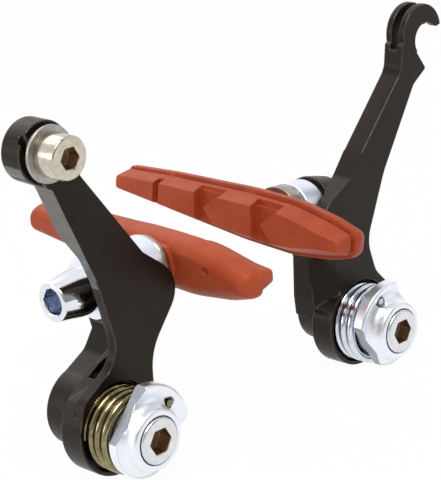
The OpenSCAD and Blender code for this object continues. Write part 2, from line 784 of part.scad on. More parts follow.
left_arm();
right_arm();
pivot_sleeve(LEFT);  // left_pivot_sleeve
pivot_sleeve(RIGHT);  // right_pivot_sleeve
spring(LEFT);  // left_spring
spring(RIGHT);  // right_spring
adjuster(LEFT);  // left_adjuster
adjuster(RIGHT);  // right_adjuster
pivot_bolt(LEFT);  // left_pivot_bolt
pivot_bolt(RIGHT);  // right_pivot_bolt
pad(LEFT);  // left_pad
pad(RIGHT);  // right_pad
pad_post(LEFT);  // left_pad_post
pad_post(RIGHT);  // right_pad_post
inner_cup(LEFT);  // left_inner_cup
inner_cup(RIGHT);  // right_inner_cup
inner_dome(LEFT);  // left_inner_dome
inner_dome(RIGHT);  // right_inner_dome
outer_cup(LEFT);  // left_outer_cup
outer_cup(RIGHT);  // right_outer_cup
outer_dome(LEFT);  // left_outer_dome
outer_dome(RIGHT);  // right_outer_dome
pad_spacer(LEFT);  // left_pad_spacer
pad_spacer(RIGHT);  // right_pad_spacer
cone_nut(LEFT);  // left_cone_nut
cone_nut(RIGHT);  // right_cone_nut
cable_bolt();
cable_washer();
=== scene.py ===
"""A cantilever rim brake in two arms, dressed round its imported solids.

Everything is in metres and in the frame of the solids: X from the left arm to the right one,
Y back into the bicycle, Z up, with the origin midway between the two pivots. Sizes that are
fields of a sub-assembly are in millimetres and angles in degrees, unless they say otherwise.
"""

import json
import logging
import math
from dataclasses import dataclass
from enum import Enum
from functools import cache
from typing import ClassVar, Iterable, Sequence

import bmesh
import bpy
from mathutils import Matrix, Vector
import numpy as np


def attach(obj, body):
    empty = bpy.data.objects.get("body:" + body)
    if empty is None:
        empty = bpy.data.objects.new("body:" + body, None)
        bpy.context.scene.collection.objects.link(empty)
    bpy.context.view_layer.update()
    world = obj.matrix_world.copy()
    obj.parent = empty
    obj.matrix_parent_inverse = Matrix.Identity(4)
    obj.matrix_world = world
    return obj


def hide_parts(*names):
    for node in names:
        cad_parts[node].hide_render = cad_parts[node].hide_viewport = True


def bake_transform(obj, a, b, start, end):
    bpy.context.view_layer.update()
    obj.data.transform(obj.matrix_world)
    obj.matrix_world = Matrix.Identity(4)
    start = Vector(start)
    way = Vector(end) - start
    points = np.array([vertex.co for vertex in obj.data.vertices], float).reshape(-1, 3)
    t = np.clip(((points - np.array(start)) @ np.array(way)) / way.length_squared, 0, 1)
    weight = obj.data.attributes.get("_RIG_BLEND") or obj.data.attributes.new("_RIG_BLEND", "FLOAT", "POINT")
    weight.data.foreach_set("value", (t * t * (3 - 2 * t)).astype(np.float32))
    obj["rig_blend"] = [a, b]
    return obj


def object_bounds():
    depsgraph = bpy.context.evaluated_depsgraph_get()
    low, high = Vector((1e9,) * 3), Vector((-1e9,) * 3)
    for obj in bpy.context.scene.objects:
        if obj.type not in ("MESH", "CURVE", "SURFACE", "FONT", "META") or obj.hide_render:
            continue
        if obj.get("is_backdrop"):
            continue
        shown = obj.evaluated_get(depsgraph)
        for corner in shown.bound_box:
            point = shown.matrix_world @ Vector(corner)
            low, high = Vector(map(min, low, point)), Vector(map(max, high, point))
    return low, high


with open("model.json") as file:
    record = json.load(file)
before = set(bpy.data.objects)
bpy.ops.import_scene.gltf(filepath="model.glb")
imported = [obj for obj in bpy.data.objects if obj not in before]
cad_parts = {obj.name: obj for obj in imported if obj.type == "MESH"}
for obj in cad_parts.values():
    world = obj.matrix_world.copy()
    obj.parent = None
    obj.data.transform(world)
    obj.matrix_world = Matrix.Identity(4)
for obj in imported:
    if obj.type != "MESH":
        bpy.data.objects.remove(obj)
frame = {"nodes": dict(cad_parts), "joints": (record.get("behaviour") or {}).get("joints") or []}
LOG = logging.getLogger("brake")

MM = 0.001
MICRON = 1e-6
TO_METRES = Matrix.Scale(MM, 4)
# Where each moving body's pivot stands along X.
STUD_X = {joint["child"]: joint["pos_m"][0] for joint in frame["joints"]}

# Edges sharper than the first are rounded, and those sharper than the second are shaded as sharp.
ROUNDED_ANGLE = 28
SHADED_ANGLE = 38
# The least area of a face beside a rounding, over its perimeter times the rounding's width.
THIN_FACE = 0.55
# The least length of a smooth edge that meets a rounding's corner, over the rounding's width.
SHORT_EDGE = 1.2
# Points of a solid that lie nearer together than this are one point.
WELD = 2 * MICRON
# Faces of a solid that meet at less than this angle are one face.
FLAT_ANGLE = 1.0

Point = tuple[float, float]
Triple = tuple[float, float, float]
Corner = Rgb = Triple
Socket = bpy.types.NodeSocket
Piece = bpy.types.Object
WorkMesh = bmesh.types.BMesh
Vert = bmesh.types.BMVert
Face = bmesh.types.BMFace


class Side(Enum):
    """The two sides of the brake, with the sign of their place along X."""

    LEFT = -1
    RIGHT = 1

    @property
    def word(self) -> str:
        """The side's word in the names of its pieces."""
        return self.name.lower()

    @property
    def body(self) -> str:
        """The moving body of this side."""
        return f"{self.word}_side"

    @property
    def stud_x(self) -> float:
        """The place of this side's stud along X, in metres."""
        return STUD_X[self.body]


class Holder(Enum):
    """What a piece is fixed to: the frame's stud or the swinging arm."""

    STUD = "pivots"
    ARM = "arm"

    def body(self, side: Side) -> str:
        """The name of the body on one side."""
        return self.value if self is Holder.STUD else side.body


@dataclass(frozen=True)
class Grain:
    """The look of one layer of noise.

    Attributes:
        scale: Features per metre, about.
        detail: How many finer layers it has.
        stretch: The scale along each axis.
    """

    scale: float
    detail: float = 3.0
    stretch: Triple = (1, 1, 1)


class Nodes:
    """A short way to lay out shader nodes."""

    def __init__(self, owner: bpy.types.Material | bpy.types.World) -> None:
        """Starts a layout.

        Args:
            owner: The material or world that it belongs to.
        """
        owner.use_nodes = True
        self.tree = owner.node_tree
        self.shader = self.tree.nodes.get("Principled BSDF")

    def add(self, kind: str, links: dict | None = None, **settings: object) -> bpy.types.Node:
        """Adds one node.

        Args:
            kind: The node's type, without its ShaderNode prefix.
            links: What goes into its inputs, by name or number: an output socket or a value.
            settings: The node's own properties.

        Returns:
            The new node.
        """
        node = self.tree.nodes.new(f"ShaderNode{kind}")
        for key, value in settings.items():
            setattr(node, key, value)
        for key, value in (links or {}).items():
            self.feed(node.inputs[key], value)
        return node

    def feed(self, socket: Socket, value: object) -> None:
        """Links or sets one input.

        Args:
            socket: The input.
            value: An output socket, or the value itself.
        """
        if isinstance(value, Socket):
            self.tree.links.new(value, socket)
        else:
            socket.default_value = value

    def sum(self, a: Socket, b: Socket | float, clamp: bool = False) -> Socket:
        """Adds two values, held to 0..1 if clamp is set."""
        return self.add("Math", {0: a, 1: b}, operation="ADD", use_clamp=clamp).outputs[0]

    def product(self, a: Socket, b: Socket | float) -> Socket:
        """Multiplies two values."""
        return self.add("Math", {0: a, 1: b}, operation="MULTIPLY").outputs[0]

    def noise(self, grain: Grain) -> Socket:
        """Noise over the object's own coordinates.

        Args:
            grain: How it looks.

        Returns:
            The noise's output, about 0.5 in the middle.
        """
        place = self.add("TexCoord").outputs["Object"]
        mapped = self.add("Mapping", {"Vector": place, "Scale": grain.stretch}).outputs[0]
        links = {"Vector": mapped, "Scale": grain.scale, "Detail": grain.detail}
        return self.add("TexNoise", links).outputs["Fac"]

    def between(
        self, fac: Socket, low: float, high: float, lo: float = 0.35, hi: float = 0.65
    ) -> Socket:
        """Maps a value so that lo becomes low, and hi becomes high."""
        links = {"Value": fac, "From Min": lo, "From Max": hi, "To Min": low, "To Max": high}
        return self.add("MapRange", links).outputs["Result"]

    def tint(self, fac: Socket, a: Rgb, b: Rgb) -> Socket:
        """Blends from colour a to colour b as a value goes from 0 to 1."""
        return self.add("Mix", {0: fac, 6: (*a, 1), 7: (*b, 1)}, data_type="RGBA").outputs[2]

    def bump(self, height: Socket, depth: float) -> Socket:
        """The normal bumped by a height, with the depth of a height of 1 in micrometres."""
        links = {"Height": height, "Distance": depth * MICRON, "Strength": 1.0}
        return self.add("Bump", links).outputs["Normal"]

    def set(self, **inputs: object) -> None:
        """Fills the Principled shader's inputs, their names written with underscores."""
        for key, value in inputs.items():
            self.feed(self.shader.inputs[key.replace("_", " ")], value)

    def seen(self) -> Socket:
        """Picks out the rays by which a thing is seen.

        Returns:
            1 for camera, glossy and transmission rays, else 0.
        """
        path = self.add("LightPath").outputs
        direct = self.sum(path["Is Camera Ray"], path["Is Glossy Ray"])
        return self.sum(direct, path["Is Transmission Ray"], clamp=True)


@dataclass(frozen=True)
class Recipe:
    """What a finish is made of.

    Attributes:
        name: The material's name.
        rough: Its least and its greatest roughness.
    """

    name: str
    rough: Point

    def build(self) -> bpy.types.Material:
        """Makes the material.

        Returns:
            The new material.
        """
        material = bpy.data.materials.new(self.name)
        self.lay(Nodes(material))
        return material

    def lay(self, n: Nodes) -> None:
        """Lays out the nodes; each kind of finish has its own."""
        raise NotImplementedError


@dataclass(frozen=True)
class Anodised(Recipe):
    """Black anodised aluminium, machined: faint tool lines and a warm cast.

    Attributes:
        deep: The darker colour.
        warm: The lighter colour.
        ior: The index of refraction.
        cast: The tint of its reflections.
        cloud: The change of colour.
        lines: The tool lines, drawn out along the arm.
        grain: The fine grain of the anodised skin.
        grain_share: How deep the grain is beside the lines.
        marks: How deep the lines are, in micrometres.
    """

    deep: Rgb
    warm: Rgb
    ior: float = 1.5
    cast: Rgb = (0.72, 0.6, 0.5)
    cloud: Grain = Grain(140, 5)
    lines: Grain = Grain(900, 2, (1, 1, 0.1))
    grain: Grain = Grain(11000, 2)
    grain_share: float = 0.6
    marks: float = 8.0

    def lay(self, n: Nodes) -> None:
        """Lays out clouded colour, tool lines and grain.

        Args:
            n: The material's nodes.
        """
        cloud, lines, grain = (n.noise(layer) for layer in (self.cloud, self.lines, self.grain))
        n.set(Base_Color=n.tint(n.between(cloud, 0, 1), self.deep, self.warm))
        n.set(Roughness=n.between(lines, *self.rough), IOR=self.ior)
        n.set(Specular_Tint=(*self.cast, 1))
        n.set(Normal=n.bump(n.sum(lines, n.product(grain, self.grain_share)), self.marks))


@dataclass(frozen=True)
class Metal(Recipe):
    """A bare or plated metal with fine turning marks and small changes of gloss.

    Attributes:
        pale: The lighter colour.
        dark: The darker colour.
        marks: How deep the marks are, in micrometres.
        fine: The marks.
        cloud: The change of colour.
    """

    pale: Rgb
    dark: Rgb
    marks: float = 3.0
    fine: Grain = Grain(3200)
    cloud: Grain = Grain(700, 5)

    def lay(self, n: Nodes) -> None:
        """Lays out clouded colour and turning marks.

        Args:
            n: The material's nodes.
        """
        cloud, fine = n.noise(self.cloud), n.noise(self.fine)
        n.set(Base_Color=n.tint(n.between(cloud, 0, 1, 0.3, 0.7), self.dark, self.pale))
        n.set(Metallic=1.0, Roughness=n.between(fine, *self.rough))
        n.set(Normal=n.bump(fine, self.marks))


@dataclass(frozen=True)
class Rubber(Recipe):
    """Moulded salmon rubber: soft mottling, a fine pebble and a faint dusty bloom.

    Attributes:
        deep: The darker colour.
        light: The lighter colour.
        ior: The index of refraction.
        cast: The tint of its reflections.
        bloom: The weight, roughness and tint of the dusty bloom.
        cloud: The mottling.
        mottle: How much of the colour the mottling takes.
        specks: The small specks in it.
        speckle: What the specks add to the colour, at their least and their greatest.
        pebble: The moulded surface.
        marks: How deep the pebble is, in micrometres.
    """

    deep: Rgb = (0.37, 0.046, 0.014)
    light: Rgb = (0.47, 0.076, 0.023)
    ior: float = 1.45
    cast: Rgb = (1.0, 0.78, 0.62)
    bloom: tuple[float, float, Rgb] = (0.03, 0.5, (1.0, 0.6, 0.4))
    cloud: Grain = Grain(110, 6)
    mottle: float = 0.8
    specks: Grain = Grain(2200, 2)
    speckle: Point = (-0.2, 0.3)
    pebble: Grain = Grain(5200)
    marks: float = 20.0

    def lay(self, n: Nodes) -> None:
        """Lays out mottled colour, the pebble and the bloom.

        Args:
            n: The material's nodes.
        """
        cloud, specks, pebble = (n.noise(layer) for layer in (self.cloud, self.specks, self.pebble))
        mottle = n.between(cloud, 0, self.mottle)
        shade = n.sum(mottle, n.between(specks, *self.speckle), clamp=True)
        n.set(Base_Color=n.tint(shade, self.deep, self.light), IOR=self.ior)
        n.set(Roughness=n.between(pebble, *self.rough), Normal=n.bump(pebble, self.marks))
        weight, rough, tint = self.bloom
        n.set(Sheen_Weight=weight, Sheen_Roughness=rough, Sheen_Tint=(*tint, 1))
        n.set(Specular_Tint=(*self.cast, 1))


class Finish(Enum):
    """Every finish on the brake; the text starts with the record's slot that it belongs to."""

    ARM = "anodised_arm"
    # The edge and side finishes are lighter copies of the arm's: a painted highlight on its rounded edges,
    # and a painted reflection on the left neck's outer side.
    ARM_EDGE = "anodised_arm edge"
    ARM_SIDE = "anodised_arm side"
    SLEEVE = "sleeve_steel"
    GOLD_SPRING = "gold_spring"
    SILVER_SPRING = "silver_spring"
    ADJUSTER = "adjuster_alloy"
    SAWN = "adjuster_alloy sawn"
    BOLT = "zinc_bolt"
    # The socket finishes are darker copies of the bolts' and the nut's: painted shade inside their hexagon
    # sockets.
    ANCHOR_BOLT = "zinc_bolt anchor"
    SOCKET = "zinc_bolt socket"
    NUT_SOCKET = "chrome_nut socket"
    RUBBER = "pad_rubber"
    POST = "post_steel"
    CUP = "washer_alloy"
    SPACER = "washer_alloy spacer"
    ANCHOR_WASHER = "washer_alloy anchor"
    DOME = "dome_steel"
    NUT = "chrome_nut"

    @property
    def slot(self) -> str:
        """The record's material slot."""
        return self.value.split()[0]


RECIPES: dict[Finish, Recipe] = {
    Finish.ARM: Anodised(
        "anodised black", (0.33, 0.41), (0.005, 0.0028, 0.0015), (0.009, 0.0053, 0.003), ior=1.38
    ),
    # A lighter, glossier copy of the arm's finish for its rounded edges: the gloss is the edges' own, the
    # lighter colour a painted highlight.
    Finish.ARM_EDGE: Anodised(
        "anodised edge", (0.22, 0.3), (0.016, 0.012, 0.009), (0.03, 0.024, 0.018), ior=1.7
    ),
    # A pale copy of the arm's finish: a painted reflection of the lamps on the left neck's outer side.
    Finish.ARM_SIDE: Anodised("rubbed side", (0.34, 0.42), (0.13, 0.125, 0.12), (0.2, 0.195, 0.19)),
    # A dark steel; the dark sleeve also darkens the space inside the coil, behind the adjuster.
    Finish.SLEEVE: Metal("oiled steel", (0.3, 0.42), (0.13, 0.12, 0.11), (0.07, 0.065, 0.06)),
    Finish.GOLD_SPRING: Metal(
        "yellow zinc wire", (0.06, 0.11), (0.34, 0.3, 0.17), (0.2, 0.165, 0.08), marks=0.4
    ),
    Finish.SILVER_SPRING: Metal(
        "zinc wire", (0.08, 0.15), (0.72, 0.76, 0.84), (0.62, 0.65, 0.72), marks=0.4
    ),
    Finish.ADJUSTER: Metal("turned alloy", (0.34, 0.42), (0.93, 0.95, 1.0), (0.89, 0.91, 0.97), marks=0.4),
    # Painted shade: the wrench flats are darker than the rest of the adjuster; their greater roughness and
    # coarser marks are their own.
    Finish.SAWN: Metal("sawn flat", (0.42, 0.52), (0.42, 0.42, 0.47), (0.35, 0.35, 0.39), 1.5, Grain(5200)),
    Finish.BOLT: Metal("zinc plated bolt", (0.24, 0.34), (0.8, 0.81, 0.85), (0.72, 0.72, 0.74), marks=0.6),
    Finish.ANCHOR_BOLT: Metal(
        "yellow zinc bolt", (0.14, 0.22), (0.66, 0.62, 0.54), (0.52, 0.46, 0.35), marks=0.6
    ),
    # Painted shade: darker and browner than the bolt, for the inside of the sockets.
    Finish.SOCKET: Metal("socket wall", (0.28, 0.4), (0.5, 0.39, 0.27), (0.36, 0.27, 0.17), marks=0.6),
    # Painted shade: darker and bluer than the nut, for the inside of its socket.
    Finish.NUT_SOCKET: Metal(
        "nut socket wall", (0.12, 0.2), (0.6, 0.66, 0.78), (0.42, 0.46, 0.56), marks=0.6
    ),
    Finish.RUBBER: Rubber("pad rubber", (0.42, 0.55)),
    Finish.POST: Metal("post steel", (0.2, 0.32), (0.6, 0.61, 0.64), (0.5, 0.5, 0.53), marks=0.8),
    Finish.CUP: Metal("cup alloy", (0.34, 0.44), (0.86, 0.9, 1.0), (0.82, 0.86, 0.96), marks=0.6),
    Finish.SPACER: Metal("spacer steel", (0.3, 0.4), (0.46, 0.41, 0.37), (0.36, 0.31, 0.28), marks=0.8),
    # Darker and browner than the other washers: a painted reflection of the dark surroundings in the
    # washer's face.
    Finish.ANCHOR_WASHER: Metal(
        "anchor washer", (0.34, 0.44), (0.47, 0.45, 0.42), (0.38, 0.37, 0.34), marks=0.6
    ),
    Finish.DOME: Metal("dome steel", (0.24, 0.34), (0.4, 0.39, 0.4), (0.3, 0.29, 0.29), marks=0.8),
    Finish.NUT: Metal("chromed steel", (0.05, 0.1), (0.82, 0.84, 0.9), (0.76, 0.78, 0.84), marks=0.3),
}


@cache
def paint(finish: Finish) -> bpy.types.Material:
    """The one material of a finish, made the first time it is asked for."""
    return RECIPES[finish].build()


def turn(x: float = 0, y: float = 0, z: float = 0) -> Matrix:
    """A turn about X, then Y, then Z, in degrees."""
    about_x, about_y, about_z = (
        Matrix.Rotation(math.radians(angle), 4, axis) for axis, angle in zip("XYZ", (x, y, z))
    )
    return about_z @ about_y @ about_x


def shift(x: float = 0, y: float = 0, z: float = 0) -> Matrix:
    """A move, in millimetres."""
    return Matrix.Translation((x, y, z))


@dataclass(frozen=True)
class Seat:
    """How one side stands: its arm's lean and where the pad's hardware sits on it.

    Attributes:
        side: The side.
        lean: Outward lean of the arm.
        tilt: Tilt of the pad's post against the arm.
        post_up: Height of the post above the pivot, along the arm.
        pad_back: Distance of the pad's back from the middle of the washers' balls.
        pitch: Nose-down turn of the pad about its post.
        spring_turn: Direction of the spring's front foot, turned from outward toward up.
        ball_out: Place of the balls' middle, outward from the arm's pivot line.
        ball_front: Distance of the post in front of the mounting plane.
        toe: Turn of the pad's front end toward the other pad.
    """

    side: Side
    lean: float
    tilt: float
    post_up: float
    pad_back: float
    pitch: float
    spring_turn: float
    ball_out: float = -9.25
    ball_front: float = 2.6
    toe: float = 1.4

    def stud(self) -> Matrix:
        """The stud's frame: x away from the wheel, y up, z forward from the mounting plane."""
        mirrored = Matrix.Scale(self.side.value, 4, (1, 0, 0))
        return Matrix.Translation((self.side.stud_x, 0, 0)) @ TO_METRES @ turn(x=90) @ mirrored

    def ball(self) -> Matrix:
        """The frame of the pad's hardware: x outward along the post from the balls' middle."""
        middle = shift(self.ball_out, self.post_up, self.ball_front)
        return self.stud() @ turn(z=-self.lean) @ middle @ turn(y=self.toe, z=self.tilt)

    def pad(self) -> Matrix:
        """The pad's frame: x forward, y up, z from its back to its friction face."""
        return self.ball() @ shift(-self.pad_back) @ turn(x=self.pitch) @ turn(y=-90)


SEATS: dict[Side, Seat] = {
    Side.LEFT: Seat(
        Side.LEFT, lean=0.0, tilt=-2.0, post_up=27.0, pad_back=11.79, pitch=1.7, spring_turn=139.0
    ),
    Side.RIGHT: Seat(
        Side.RIGHT, lean=12.5, tilt=6.0, post_up=25.0, pad_back=14.19, pitch=3.2, spring_turn=114.0
    ),
}


def circle(radius: float, count: int) -> list[Point]:
    """The points of a circle, from the first axis toward the second."""
    angles = (math.tau * k / count for k in range(count))
    return [(radius * math.cos(angle), radius * math.sin(angle)) for angle in angles]


def corner_arc(a: Vector, p: Vector, b: Vector, radius: float, steps: int) -> list[Vector]:
    """The arc that rounds a corner between its neighbours.

    Args:
        a: The point before the corner.
        p: The corner.
        b: The point after the corner.
        radius: The arc's radius.
        steps: The number of steps along it.

    Returns:
        The arc's points.
    """
    u, v = (a - p).normalized(), (b - p).normalized()
    half = math.acos(max(-1.0, min(1.0, u.dot(v)))) / 2
    middle = p + (u + v).normalized() * radius / math.sin(half)
    start = p + u * radius / math.tan(half) - middle
    end = p + v * radius / math.tan(half) - middle
    first = math.atan2(start.y, start.x)
    sweep = math.atan2(start.x * end.y - start.y * end.x, start.dot(end))
    angles = (first + sweep * i / steps for i in range(steps + 1))
    return [middle + radius * Vector((math.cos(angle), math.sin(angle))) for angle in angles]


def rounded(corners: Sequence[Corner], steps: int = 8) -> list[Point]:
    """An outline whose corners (x, y, radius) are rounded by their own radius.

    Args:
        corners: The corners, in order.
        steps: The number of steps round each.

    Returns:
        The outline's points.
    """
    flat = [Vector((x, y)) for x, y, _ in corners]
    outline = []
    for i, (_, _, radius) in enumerate(corners):
        after = flat[(i + 1) % len(flat)]
        outline += [(p.x, p.y) for p in corner_arc(flat[i - 1], flat[i], after, radius, steps)]
    return outline


def loft(bm: WorkMesh, rings: Sequence[Sequence[Vert]]) -> None:
    """Joins rings of points into a closed body.

    Args:
        bm: The mesh that they are in.
        rings: The rings, all of the same length.
    """
    for one, two in zip(rings, rings[1:]):
        for k in range(len(one)):
            bm.faces.new((one[k], one[k - 1], two[k - 1], two[k]))
    bm.faces.new(rings[0])
    bm.faces.new(rings[-1][::-1])
    bmesh.ops.recalc_face_normals(bm, faces=bm.faces)


def stacked(layers: Iterable[tuple[float, Iterable[Point]]]) -> WorkMesh:
    """A closed body through flat outlines, one above the other.

    Args:
        layers: The height and the points of each outline, all of the same length.

    Returns:
        The body.
    """
    bm = bmesh.new()
    loft(bm, [[bm.verts.new((x, y, z)) for x, y in outline] for z, outline in layers])
    return bm


def prism(corners: Sequence[Point], low: float, high: float) -> WorkMesh:
    """A straight prism over an outline, between two heights."""
    return stacked((z, corners) for z in (low, high))


def welded(node: str) -> WorkMesh:
    """A working copy of a solid's mesh, with doubled points joined and flat triangles merged.

    Args:
        node: The solid's name.

    Returns:
        The copy.
    """
    bm = bmesh.new()
    bm.from_mesh(frame["nodes"][node].data)
    bmesh.ops.remove_doubles(bm, verts=bm.verts, dist=WELD)
    flat = math.radians(FLAT_ANGLE)
    bmesh.ops.dissolve_limit(bm, angle_limit=flat, verts=bm.verts, edges=bm.edges)
    return bm


def weigh_edges(bm: WorkMesh, width: float, angle: float = ROUNDED_ANGLE) -> None:
    """Marks the sharp edges that have room for a rounding.

    Args:
        bm: The mesh.
        width: The rounding's width, in millimetres.
        angle: The least angle of a sharp edge, in degrees.
    """
    weights = bm.edges.layers.float
    weight = weights.get("bevel_weight_edge") or weights.new("bevel_weight_edge")
    reach = width * MM
    thin = {f for f in bm.faces if f.calc_area() < f.calc_perimeter() * reach * THIN_FACE}
    sharp = {
        edge
        for edge in bm.edges
        if len(edge.link_faces) == 2
        and edge.calc_face_angle(0) > math.radians(angle)
        and not thin.intersection(edge.link_faces)
    }
    for edge in sharp:
        smooth = (e for vert in edge.verts for e in vert.link_edges if e not in sharp)
        crowded = any(e.calc_length() < reach * SHORT_EDGE for e in smooth)
        edge[weight] = 0.0 if crowded else 1.0


def new_mesh(name: str, bm: WorkMesh) -> bpy.types.Mesh:
    """Turns a working mesh into a lasting one.

    Args:
        name: Its name.
        bm: The working mesh, which is freed.

    Returns:
        The lasting mesh.
    """
    mesh = bpy.data.meshes.new(name)
    bm.to_mesh(mesh)
    bm.free()
    return mesh


def new_object(name: str, data: bpy.types.ID) -> Piece:
    """Puts an object in the scene.

    Args:
        name: Its name.
        data: Its mesh, light or camera.

    Returns:
        The object.
    """
    obj = bpy.data.objects.new(name, data)
    bpy.context.scene.collection.objects.link(obj)
    return obj


def settle(obj: Piece) -> None:
    """Applies an object's modifiers to its mesh.

    Args:
        obj: The object.
    """
    graph = bpy.context.evaluated_depsgraph_get()
    mesh = bpy.data.meshes.new_from_object(obj.evaluated_get(graph))
    obj.modifiers.clear()
    obj.data = mesh


def soften(obj: Piece, width: float, edge_material: int = -1) -> None:
    """Rounds an object's marked edges and smooths the rest.

    Args:
        obj: The object.
        width: The width of the rounding, in millimetres.
        edge_material: The material slot of the rounding, or -1 for that of the faces beside it.
    """
    if width > 0:
        bevel = obj.modifiers.new("edges", "BEVEL")
        bevel.width = width * MM
        bevel.segments = 2
        bevel.limit_method = "WEIGHT"
        bevel.use_clamp_overlap = False
        bevel.miter_outer = "MITER_ARC"
        bevel.material = edge_material
        settle(obj)
    obj.data.shade_smooth()
    obj.data.set_sharp_from_angle(angle=math.radians(SHADED_ANGLE))
    obj.modifiers.new("flats", "WEIGHTED_NORMAL").keep_sharp = True
    settle(obj)


def shown(bm: WorkMesh, name: str, finish: Finish, body: str | None) -> Piece:
    """Turns a working mesh into a piece that rides on a body.

    Args:
        bm: The mesh, which is freed.
        name: The piece's name.
        finish: Its finish.
        body: The body that it moves with, or None if it bends between two.

    Returns:
        The piece.
    """
    obj = new_object(name, new_mesh(name, bm))
    obj.data.materials.append(paint(finish))
    if body:
        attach(obj, body)
    return obj


@dataclass(frozen=True)
class Dressing:
    """How one solid is dressed.

    Attributes:
        stem: The solid's name without its side.
        finish: Its finish.
        width: The width of its rounded edges, in millimetres.
        inside: The finish of its hexagon socket, if it has one: a darker copy, painted shade in the socket.
        edge: The finish of its rounded edges, if it differs: on the arm, a lighter copy, partly a painted
            highlight.
        face: The finish of its marked faces, if it differs: painted light or shade on the faces that a group
            picks.
    """

    stem: str
    finish: Finish
    width: float
    inside: Finish | None = None
    edge: Finish | None = None
    face: Finish | None = None

    def finishes(self) -> list[Finish]:
        """The finishes of the piece's material slots, in order."""
        return [f for f in (self.finish, self.inside, self.edge, self.face) if f]


@dataclass
class Group:
    """Pieces that are made from the solids of the same names.

    Attributes:
        side: The side it belongs to.
        holder: What its pieces are fixed to.
        dressings: How each of its solids is dressed.
        hexagon: Width of a hexagon socket across its flats.
        slack: How far outside the hexagon its wall may lie.
        rim: Depth at which a socket's wall begins.
        sump: How much deeper a socket may be than it is wide.
    """

    side: Side
    holder: ClassVar[Holder] = Holder.ARM
    dressings: ClassVar[tuple[Dressing, ...]] = ()
    hexagon: ClassVar[float] = 5.0
    slack: ClassVar[float] = 0.06
    rim: ClassVar[float] = 0.5
    sump: ClassVar[float] = 0.2

    def build(self) -> list[Piece]:
        """Makes every piece of the group."""
        return [self.dress(dressing) for dressing in self.dressings]

    def node_of(self, dressing: Dressing) -> str:
        """The name of the solid that a dressing is for."""
        return f"{self.side.word}_{dressing.stem}"

    def dress(self, dressing: Dressing) -> Piece:
        """Makes one piece from its solid.

        Args:
            dressing: How it is dressed.

        Returns:
            The piece.
        """
        node, finishes = self.node_of(dressing), dressing.finishes()
        bm = welded(node)
        # The faces inside a socket get painted shade, and the marked faces painted light or shade of their
        # own.
        marked = ((dressing.inside, self.socket_faces), (dressing.face, self.marked_faces))
        for finish, faces_of in marked:
            for face in faces_of(bm) if finish else ():
                face.material_index = finishes.index(finish)
        weigh_edges(bm, dressing.width)
        obj = shown(bm, f"{node}_dressed", dressing.finish, self.holder.body(self.side))
        for extra in finishes[1:]:
            obj.data.materials.append(paint(extra))
        edge_material = finishes.index(dressing.edge) if dressing.edge else -1
        soften(obj, dressing.width, edge_material)
        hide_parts(node)
        return obj

    def marked_faces(self, bm: WorkMesh) -> list[Face]:
        """The faces that have a finish of their own."""
        bm.normal_update()
        return [face for face in bm.faces if self.marked(face)]

    def marked(self, face: Face) -> bool:
        """Tells if a face has a finish of its own: none has, unless a group says so."""
        return False

    def socket_frame(self, bm: WorkMesh) -> Matrix:
        """The frame of a screw's head: z forward along its axis, in millimetres.

        Args:
            bm: The screw's mesh.

        Returns:
            The matrix from that frame.
        """
        xs, zs = [v.co.x for v in bm.verts], [v.co.z for v in bm.verts]
        middle = Vector(((min(xs) + max(xs)) / 2, 0, (min(zs) + max(zs)) / 2))
        return Matrix.Translation(middle) @ TO_METRES @ turn(x=90)

    def socket_faces(self, bm: WorkMesh) -> list[Face]:
        """The faces inside a hexagon socket, which get painted shade.

        Args:
            bm: The mesh.

        Returns:
            The faces.
        """
        back = self.socket_frame(bm).inverted()
        top = max((back @ v.co).z for v in bm.verts)
        corner_r = self.hexagon / 2 / math.cos(math.pi / 6) + self.slack
        inside = []
        for face in bm.faces:
            spots = [back @ v.co for v in face.verts]
            near = all(math.hypot(p.x, p.y) < corner_r for p in spots)
            below = sum(p.z for p in spots) / len(spots) < top - self.rim
            if near and below and min(p.z for p in spots) > top - self.hexagon - self.sump:
                inside.append(face)
        return inside


@dataclass
class Arm(Group):
    """The arm on its sleeve.

    Attributes:
        rubbed: The way that the side with the painted reflection faces.
        match: How nearly a face must face that way, as the cosine between them.
        neck: The height above which that side gets the painted reflection.
    """

    dressings: ClassVar = (
        # Its rounded edges get a lighter copy, partly a painted highlight, and the left neck's outer side a
        # painted reflection.
        Dressing("arm", Finish.ARM, 0.26, edge=Finish.ARM_EDGE, face=Finish.ARM_SIDE),
    )
    rubbed: ClassVar[Vector] = Vector((-0.87, 0, -0.49))
    match: ClassVar[float] = 0.97
    neck: ClassVar[float] = 30

    def marked(self, face: Face) -> bool:
        """Tells if a face is on the left neck's outer side, painted paler than the rest: a painted
        reflection of the lamps.
        """
        high = face.calc_center_median().z > self.neck * MM
        return self.side is Side.LEFT and high and face.normal.dot(self.rubbed) > self.match


@dataclass
class Pivot(Group):
    """What stays on the frame's stud: sleeve, adjuster and bolt.

    Attributes:
        upright: How nearly square to the stud a wrench flat is, as a cosine.
        least: The least area of a wrench flat, in square millimetres.
    """

    holder: ClassVar[Holder] = Holder.STUD
    dressings: ClassVar = (
        Dressing("pivot_sleeve", Finish.SLEEVE, 0.1),
        # The adjuster's wrench flats get painted shade.
        Dressing("adjuster", Finish.ADJUSTER, 0.1, face=Finish.SAWN),
        # The bolt's socket gets painted shade.
        Dressing("pivot_bolt", Finish.BOLT, 0.2, inside=Finish.SOCKET),
    )
    upright: ClassVar[float] = 0.05
    least: ClassVar[float] = 3

    def marked(self, face: Face) -> bool:
        """Tells if a face is one of the adjuster's wrench flats, which get painted shade."""
        return abs(face.normal.y) < self.upright and face.calc_area() > self.least * MM * MM


